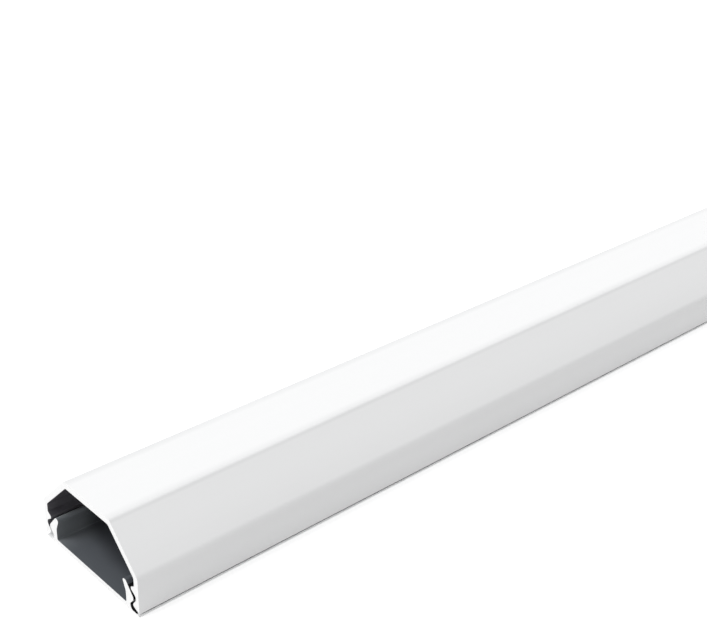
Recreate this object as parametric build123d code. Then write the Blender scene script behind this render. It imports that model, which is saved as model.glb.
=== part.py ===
from build123d import *
import math
import os

# Cord cover raceway: a channel base and a cover that snaps over it, two plastic
# extrusions of one length.
# Frame: X runs along the raceway, Y across it and Z up. The origin is the middle of the
# underside, so the base stands on Z = 0. Millimetres.

# Overall size
length = 400.0
width = 30.0
height = 16.0

# Cover: a top, two slanted faces and two sides, all one wall thick
cover_wall = 1.2
side_height = 8.2
slant_angle = 45.0
upper_ridge_radius = 0.8
lower_ridge_radius = 1.6
inner_corner_radius = 0.8

# Base: floor, and the thin toes that run out under the cover's sides
floor_thickness = 1.1
toe_inset = 0.15
toe_edge = 0.35
toe_rise = 0.05
toe_corner_radius = 0.1
toe_root_radius = 0.8

# Base: snap legs. Each has a neck, bulges out above it, then leans in to a rounded tip.
leg_set_in = 2.65
leg_root_radius = 0.3
leg_neck = 1.2
leg_neck_height = 1.6
leg_neck_radius = 0.8
leg_bulge = 2.45
leg_bulge_height = 3.1
leg_bulge_radius = 0.7
leg_lean = 1.0
leg_lean_start = 3.5
leg_lean_radius = 2.0
leg_height = 5.9
leg_tip_width = 1.1
leg_tip_roundness = 0.45

# Cover: lip inside each side, with a hook nose over the leg and a catch under its bulge
catch_gap = 0.65
hollow_gap = 0.95
nose_gap = 0.95
foot_gap = 0.4
hook_height = 6.0
nose_height = 5.4
nose_depth = 0.5
nose_radius = 0.2
hollow_height = 3.7
hollow_radius = 0.9
catch_height = 1.65
catch_radius = 0.45

# Slots across the base's floor, for screws or cable ties
slot_length = 10.0
slot_width = 3.5
slot_corner_radius = 0.5
slot_pitch = 100.0
slot_end_margin = 50.0

# Places worked out from the sizes above
half_width = width / 2
slant_rise = height - side_height
slant_run = slant_rise / math.tan(math.radians(slant_angle))
top_half = half_width - slant_run
mitre = cover_wall * math.tan(math.radians(slant_angle / 2))
inner_half = half_width - cover_wall
leg_inner = inner_half - leg_set_in
neck_side = leg_inner + leg_neck
bulge_side = leg_inner + leg_bulge
tip_inner = leg_inner - leg_lean
tip_outer = tip_inner + leg_tip_width
tip_radius = leg_tip_roundness * leg_tip_width
section_plane = Plane.YZ.offset(-length / 2)


def outline(corners):
    """A closed outline in the section plane. Each corner is (y, z, radius)."""
    with BuildSketch(section_plane) as drawn:
        with BuildLine():
            FilletPolyline(
                [(y, z) for y, z, _ in corners],
                radius=[radius for _, _, radius in corners],
                close=True,
            )
        make_face()
    return drawn.sketch


def symmetric_outline(right_side):
    """The right side's corners, then the same corners mirrored on the left, in one outline."""
    left_side = [(-y, z, radius) for y, z, radius in reversed(right_side)]
    return outline(right_side + left_side)


def base_section():
    """Floor and toes, with an S-shaped leg standing at each side."""
    return symmetric_outline([
        (half_width - toe_inset, 0, 0),
        (half_width - toe_inset, toe_edge, toe_corner_radius),
        (neck_side, toe_edge + toe_rise, toe_root_radius),
        (neck_side, leg_neck_height, leg_neck_radius),
        (bulge_side, leg_bulge_height, leg_bulge_radius),
        (tip_outer, leg_height, tip_radius),
        (tip_inner, leg_height, tip_radius),
        (leg_inner, leg_lean_start, leg_lean_radius),
        (leg_inner, floor_thickness, leg_root_radius),
    ])


def leg_lean_side(z):
    """How far out the leg's leaning outer face lies at a height between its bulge and its tip."""
    share = (z - leg_bulge_height) / (leg_height - leg_bulge_height)
    return bulge_side + share * (tip_outer - bulge_side)


def lip_outline():
    """The lip on the right-hand side: nose above the bulge, hollow round it, catch below it."""
    foot_height = toe_edge + foot_gap
    nose_side = leg_lean_side(nose_height - nose_depth / 2) + nose_gap
    return outline([
        (half_width, foot_height, 0),
        (half_width, hook_height, 0),
        (inner_half, hook_height, 0),
        (nose_side, nose_height, nose_radius),
        (nose_side, nose_height - nose_depth, nose_radius),
        (bulge_side + hollow_gap, hollow_height, hollow_radius),
        (neck_side + catch_gap, catch_height, catch_radius),
    ])


def cover_section():
    """The five walls of the cover with a lip inside each side."""
    outside = symmetric_outline([
        (half_width, toe_edge + foot_gap, 0),
        (half_width, side_height, lower_ridge_radius),
        (top_half, height, upper_ridge_radius),
    ])
    inside = symmetric_outline([
        (inner_half, -height, 0),
        (inner_half, side_height - mitre, inner_corner_radius),
        (top_half - mitre, height - cover_wall, inner_corner_radius),
    ])
    below_hooks = symmetric_outline([
        (half_width, -height, 0),
        (half_width, hook_height, 0),
    ])
    lip = lip_outline()
    lips = lip + mirror(lip, about=Plane.XZ)
    return (outside - inside - below_hooks) + (lips & outside)


def slot_places():
    """Slots at the pitch, centred on the length, as many as the end margins leave room for."""
    count = int((length - 2 * slot_end_margin) // slot_pitch) + 1
    return [(index - (count - 1) / 2) * slot_pitch for index in range(count)]


def build_base():
    body = extrude(base_section(), amount=length)
    slot = Rectangle(slot_width, slot_length)
    slot = fillet(slot.vertices(), radius=slot_corner_radius)
    cutter = extrude(slot, amount=floor_thickness)
    for place in slot_places():
        body -= Pos(place, 0, 0) * cutter
    return body


def build_cover():
    return extrude(cover_section(), amount=length)


os.makedirs("parts", exist_ok=True)
for name, build in (("base", build_base), ("cover", build_cover)):
    piece = build()
    piece.label = name
    export_step(piece, f"parts/{name}.step")
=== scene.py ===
import math

import bpy
from mathutils import Matrix, Vector


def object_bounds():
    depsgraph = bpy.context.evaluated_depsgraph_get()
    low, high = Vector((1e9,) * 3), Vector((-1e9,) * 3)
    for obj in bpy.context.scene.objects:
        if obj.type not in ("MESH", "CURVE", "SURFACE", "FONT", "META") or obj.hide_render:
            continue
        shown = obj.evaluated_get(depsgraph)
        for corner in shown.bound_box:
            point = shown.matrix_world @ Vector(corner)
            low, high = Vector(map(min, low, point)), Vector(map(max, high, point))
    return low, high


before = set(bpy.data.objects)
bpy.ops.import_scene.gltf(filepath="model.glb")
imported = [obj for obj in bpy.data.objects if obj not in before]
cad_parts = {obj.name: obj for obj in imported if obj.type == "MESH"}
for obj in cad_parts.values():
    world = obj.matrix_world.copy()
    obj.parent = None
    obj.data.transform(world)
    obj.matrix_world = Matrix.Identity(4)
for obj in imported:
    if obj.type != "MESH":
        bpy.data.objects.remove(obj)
cad_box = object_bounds()
lowest, highest = cad_box
scene = bpy.context.scene


# The camera stands off the near end, beside the raceway and above it, and looks down along it
# as in the photograph. Its place, turn and lens come from the long edges and the open end there.
photo_width_px = 707
focal_length_px = 1323.0
camera_from_near_end = Vector((-0.09342, -0.16525, 0.15080))
camera_heading = math.radians(43.113)
camera_tilt = math.radians(-27.611)
camera_roll = math.radians(1.815)
sensor_width_mm = 36.0
nearest_seen = 0.01
farthest_seen = 50.0

lens = bpy.data.cameras.new("photo_lens")
lens.sensor_width = sensor_width_mm
lens.lens = focal_length_px / photo_width_px * sensor_width_mm
lens.clip_start = nearest_seen
lens.clip_end = farthest_seen
camera = bpy.data.objects.new("photo_camera", lens)
camera.matrix_world = (
    Matrix.Translation(Vector((lowest.x, 0, 0)) + camera_from_near_end)
    @ Matrix.Rotation(-camera_heading, 4, "Z")
    @ Matrix.Rotation(math.radians(90) + camera_tilt, 4, "X")
    @ Matrix.Rotation(camera_roll, 4, "Z")
)
scene.collection.objects.link(camera)
scene.camera = camera


# The light is a white surround with one large soft lamp, above the raceway and beyond its near
# end and far side. The top takes most of it, then the slant, then the upright side.
class Shade:
    """An output in a shader tree. Arithmetic on values adds Math nodes; node() adds any other node."""

    def __init__(self, tree, output=None):
        self.tree = tree
        self.output = output

    def node(self, kind, settings, sockets, output=0):
        """A node by its type. Settings come first, then sockets, each given a value or a link."""
        made = self.tree.nodes.new("ShaderNode" + kind)
        for name, value in settings.items():
            setattr(made, name, value)
        for name, value in sockets.items():
            if isinstance(value, Shade):
                self.tree.links.new(value.output, made.inputs[name])
            else:
                made.inputs[name].default_value = value
        return Shade(self.tree, made.outputs[output] if made.outputs else None)

    def maths(self, operation, *values):
        return self.node("Math", {"operation": operation}, dict(enumerate(values)))

    def mix(self, share, first, second):
        """A colour that is the first where the share is 0 and the second where it is 1."""
        return self.node("Mix", {"data_type": "RGBA"}, {0: share, 6: first, 7: second}, 2)

    def parts(self):
        """The X, Y and Z parts of a vector."""
        return [self.node("SeparateXYZ", {}, {0: self}, axis) for axis in "XYZ"]

    def __add__(self, other):
        return self.maths("ADD", self, other)

    def __sub__(self, other):
        return self.maths("SUBTRACT", self, other)

    def __rsub__(self, other):
        return self.maths("SUBTRACT", other, self)

    def __mul__(self, other):
        return self.maths("MULTIPLY", self, other)

    def __gt__(self, other):
        return self.maths("GREATER_THAN", self, other)

    def __lt__(self, other):
        return self.maths("LESS_THAN", self, other)

    def __abs__(self):
        return self.maths("ABSOLUTE", self)

    __radd__ = __add__
    __rmul__ = __mul__


def seen_directly(shade):
    """1 for rays that show a light thing as such: to the camera, in a gloss or through glass."""
    camera_ray, glossy_ray, glass_ray = (
        shade.node("LightPath", {}, {}, f"Is {kind} Ray") for kind in ("Camera", "Glossy", "Transmission")
    )
    return shade.maths("MAXIMUM", camera_ray, shade.maths("MAXIMUM", glossy_ray, glass_ray))


scene.view_settings.view_transform = "Standard"
white = (1.0, 1.0, 1.0, 1.0)
surround_strength = 0.8
lamp_strength = 1.52
lamp_direction = Vector((-0.641, 0.404, 0.653))
lamp_softness = math.radians(40)

surround = bpy.data.worlds.new("white_surround")
surround.use_nodes = True
surround.node_tree.nodes.clear()
sky = Shade(surround.node_tree)
strength = surround_strength + (1 - surround_strength) * seen_directly(sky)
glow = sky.node("Background", {}, {"Color": white, "Strength": strength})
sky.node("OutputWorld", {}, {"Surface": glow})
scene.world = surround

lamp = bpy.data.lights.new("soft_lamp", "SUN")
lamp.energy = lamp_strength
lamp.angle = lamp_softness
soft_lamp = bpy.data.objects.new("soft_lamp", lamp)
soft_lamp.rotation_mode = "QUATERNION"
soft_lamp.rotation_quaternion = lamp_direction.to_track_quat("Z", "Y")
scene.collection.objects.link(soft_lamp)


# The floor is a plain pale sheet under the raceway. It shows white to the camera through a glow
# that lights nothing, and the raceway's own soft shadow still darkens it.
floor_reach = 6.0
floor_drop = 0.0001
floor_colour = (0.6, 0.6, 0.6, 1.0)
floor_glow = 0.6

floor_mesh = bpy.data.meshes.new("floor")
corners = [(-floor_reach, -floor_reach, 0), (floor_reach, -floor_reach, 0)]
corners += [(floor_reach, floor_reach, 0), (-floor_reach, floor_reach, 0)]
floor_mesh.from_pydata(corners, [], [(0, 1, 2, 3)])
floor_paint = bpy.data.materials.new("pale_floor")
floor_paint.use_nodes = True
floor_paint.node_tree.nodes.clear()
sheet = Shade(floor_paint.node_tree)
lit = sheet.node("BsdfDiffuse", {}, {"Color": floor_colour})
glowing = sheet.node("Emission", {}, {"Color": white, "Strength": floor_glow * seen_directly(sheet)})
both = sheet.node("AddShader", {}, {0: lit, 1: glowing})
sheet.node("OutputMaterial", {}, {"Surface": both})
floor_mesh.materials.append(floor_paint)
floor = bpy.data.objects.new("floor", floor_mesh)
floor.location.z = lowest.z - floor_drop
scene.collection.objects.link(floor)


# The base is a flat channel extruded in rigid white PVC and sawn square at both ends. Four
# slots are punched across its floor, and screws or ties through them hold it down.
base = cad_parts["base"]
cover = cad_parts["cover"]

# The plastic's own white and die-line grey, then painted light and painted shade
base_white = (0.86, 0.865, 0.87, 1.0)
drawn_grey = (0.6, 0.62, 0.64, 1.0)
# Painted shade: the grey that darkens the cover's ridges
ridge_shade_grey = (0.6, 0.603, 0.61, 1.0)
# Painted light: the sawn ends are painted lighter than the plastic
sawn_white_painted_lighter = (0.92, 0.92, 0.92, 1.0)
# Painted shade on the faces that the cover hides from the light, near black in the near gap
channel_shade = (0.116, 0.127, 0.142, 1.0)
deep_channel_shade = (0.054, 0.058, 0.066, 1.0)
# Painted light: the far leg's faces are painted lighter than the rest of the channel
far_leg_shade = (0.18, 0.194, 0.208, 1.0)
deep_leg_shade = (0.082, 0.087, 0.097, 1.0)
gap_shade = (0.01, 0.01, 0.012, 1.0)

# The satin finish, and the marks of the die, of handling and of the saw on it. Scales and stretches
# are in waves per metre, depth is in metres, and the rest are shares or the nodes' own measures.
die_line_stretch = (1.5, 900.0, 900.0)
die_line_detail = 2.0
die_line_tint = 0.05
die_line_gloss = 0.06
die_line_relief = 0.7
orange_peel_scale = 600.0
orange_peel_detail = 1.0
orange_peel_relief = 0.3
handling_scale = 40.0
handling_detail = 3.0
handling_gloss = 0.05
saw_marks_across = 1600.0
saw_marks_up = 700.0
saw_mark_detail = 3.0
sawn_roughness = 0.2
satin = 0.36
relief_strength = 0.35
relief_depth = 0.00003
pvc_ior = 1.53
noise_middle = 0.5
unscaled = 1.0
facing_limit = 0.5

# Where the painted shade lies, in metres across the section, up it, or in from an open end. Painted
# daylight reaches further in on the far side, by the slant times the distance across.
half_length = highest.x
toe_reach = 0.0142
leg_side = 0.01125
hook_level = 0.0052
far_leg_zone = (0.006, 0.0112)
painted_daylight_reach = (0.0025, 0.0065)
painted_daylight_slant = 0.2


def extruded_pvc(name, plain_white, painted_shade_side, painted_ridge_shade=None):
    """Satin white PVC: fine die lines along X, sawn ends painted lighter, painted shade on the side
    that the light misses, and painted shade greying the ridges where the piece has any."""
    material = bpy.data.materials.new(name)
    material.use_nodes = True
    material.node_tree.nodes.clear()
    paint = Shade(material.node_tree)
    place = paint.node("TexCoord", {}, {}, "Object")
    facing = paint.node("TexCoord", {}, {}, "Normal")
    sawn = abs(facing.parts()[0]) > facing_limit
    painted_shade, painted_shade_colour = painted_shade_side(place, facing)

    stretched = place.node("VectorMath", {"operation": "MULTIPLY"}, {0: place, 1: die_line_stretch})
    die_lines = place.node(
        "TexNoise", {}, {"Vector": stretched, "Scale": unscaled, "Detail": die_line_detail}
    )
    orange_peel = place.node(
        "TexNoise", {}, {"Vector": place, "Scale": orange_peel_scale, "Detail": orange_peel_detail}
    )
    handling = place.node(
        "TexNoise", {}, {"Vector": place, "Scale": handling_scale, "Detail": handling_detail}
    )
    across, up = place.parts()[1:]
    saw_stroke = across * saw_marks_across + up * saw_marks_up
    saw_marks = place.node(
        "TexNoise",
        {"noise_dimensions": "1D"},
        {"W": saw_stroke, "Scale": unscaled, "Detail": saw_mark_detail},
    )

    drawn = place.mix(die_lines * die_line_tint, plain_white, drawn_grey)
    # Painted shade greying the ridges, varied at random by the handling noise
    if painted_ridge_shade:
        drawn = place.mix(painted_ridge_shade(place) * (handling + noise_middle), drawn, ridge_shade_grey)
    # Painted shade on the faces the light misses, save the sawn ends, which keep their painted lighter
    # white
    colour = place.mix(painted_shade * (1 - sawn), place.mix(sawn, drawn, sawn_white_painted_lighter), painted_shade_colour)
    gloss_change = die_line_gloss * (die_lines - noise_middle) + handling_gloss * (handling - noise_middle)
    roughness = satin + gloss_change + sawn_roughness * sawn
    drawn_relief = die_line_relief * die_lines + orange_peel_relief * orange_peel
    relief = (1 - sawn) * drawn_relief + sawn * saw_marks
    bump = place.node("Bump", {}, {"Strength": relief_strength, "Distance": relief_depth, "Height": relief})
    surface = place.node(
        "BsdfPrincipled", {}, {"Base Color": colour, "Roughness": roughness, "Normal": bump, "IOR": pvc_ior}
    )
    surface.node("OutputMaterial", {}, {"Surface": surface})
    return material


def painted_dark_in_near_gap(place, elsewhere):
    """Painted shade, near black in the gap between the near leg and the lip that hooks over it, else
    another.
    """
    across, up = place.parts()[1:]
    return place.mix((across < -leg_side) * (up < hook_level), elsewhere, gap_shade)


def smooth_step(value, limits):
    """0 below the lower limit, 1 above the upper one and a smooth rise between them."""
    sockets = {"Value": value, "From Min": limits[0], "From Max": limits[1]}
    return value.node("MapRange", {"interpolation_type": "SMOOTHSTEP"}, sockets)


def painted_shade_under_cover(place, facing):
    """Painted shade on the base's upper faces where the cover lies over them. Painted daylight fades inward
    from its ends.
    """
    along_cover = abs(place.node("TexCoord", {"object": cover}, {}, "Object").parts()[0])
    across = place.parts()[1]
    covered = (along_cover < half_length) * (facing.parts()[2] > -facing_limit)
    in_shade = covered * (across > -toe_reach) * (across < leg_side)
    by_far_leg = smooth_step(across, far_leg_zone)
    slant = painted_daylight_slant * across.maths("MAXIMUM", across, 0.0)
    deep = smooth_step(half_length - along_cover - slant, painted_daylight_reach)
    lit_shade = place.mix(by_far_leg, channel_shade, far_leg_shade)
    deep_shade = place.mix(by_far_leg, deep_channel_shade, deep_leg_shade)
    return in_shade, painted_dark_in_near_gap(place, place.mix(deep, lit_shade, deep_shade))


base.data.materials.clear()
base.data.materials.append(extruded_pvc("base_pvc", base_white, painted_shade_under_cover))


# The cover is a five-sided lid extruded in the same PVC. It is sawn with the base, and its two
# lips snap over the base's legs, so nothing else holds it.
cover_white = (0.865, 0.868, 0.872, 1.0)
# Painted shade inside the lid, painted lighter deeper in so that it stays even there
lid_shade = (0.073, 0.070, 0.081, 1.0)
deep_lid_shade = (0.138, 0.134, 0.150, 1.0)
lid_shade_reach = (0.001, 0.007)
section_middle = 0.006
far_catch_top = 0.0026

# Its ridges are painted a little greyer, as painted shade. The reaches are in metres: outward plus
# down from the upper ridge, so below zero on the top, and up or down from the lower one.
top_half = 0.0072
lower_ridge_level = 0.0082
upper_ridge_shade = 0.32
lower_ridge_shade = 0.12
upper_ridge_shade_on_top = (-0.0022, 0.0)
upper_ridge_shade_on_slant = (0.0002, 0.0014)
lower_ridge_shade_reach = (0.0, 0.005)


def painted_shade_inside_cover(place, facing):
    """Painted shade on the cover's faces that look in at the middle of its section, save the far lip's
    lower part.
    """
    along, across, up = place.parts()
    facing_across, facing_up = facing.parts()[1:]
    looking_out = facing_across * across + facing_up * (up - section_middle)
    far_lip = (across > 0.0) * (up < far_catch_top)
    deep = smooth_step(half_length - abs(along), lid_shade_reach)
    shade = place.mix(deep, lid_shade, deep_lid_shade)
    return (looking_out < 0.0) * (1 - far_lip), painted_dark_in_near_gap(place, shade)


def painted_cover_ridge_shade(place):
    """Painted shade greying the top's two edges, and a wider and fainter one round the lower ridges."""
    across, up = place.parts()[1:]
    past_ridge = abs(across) - up + (highest.z - top_half)
    upper = smooth_step(past_ridge, upper_ridge_shade_on_top) * (1 - smooth_step(past_ridge, upper_ridge_shade_on_slant))
    lower = 1 - smooth_step(abs(up - lower_ridge_level), lower_ridge_shade_reach)
    return upper_ridge_shade * upper + lower_ridge_shade * lower


cover.data.materials.clear()
cover.data.materials.append(
    extruded_pvc("cover_pvc", cover_white, painted_shade_inside_cover, painted_cover_ridge_shade)
)
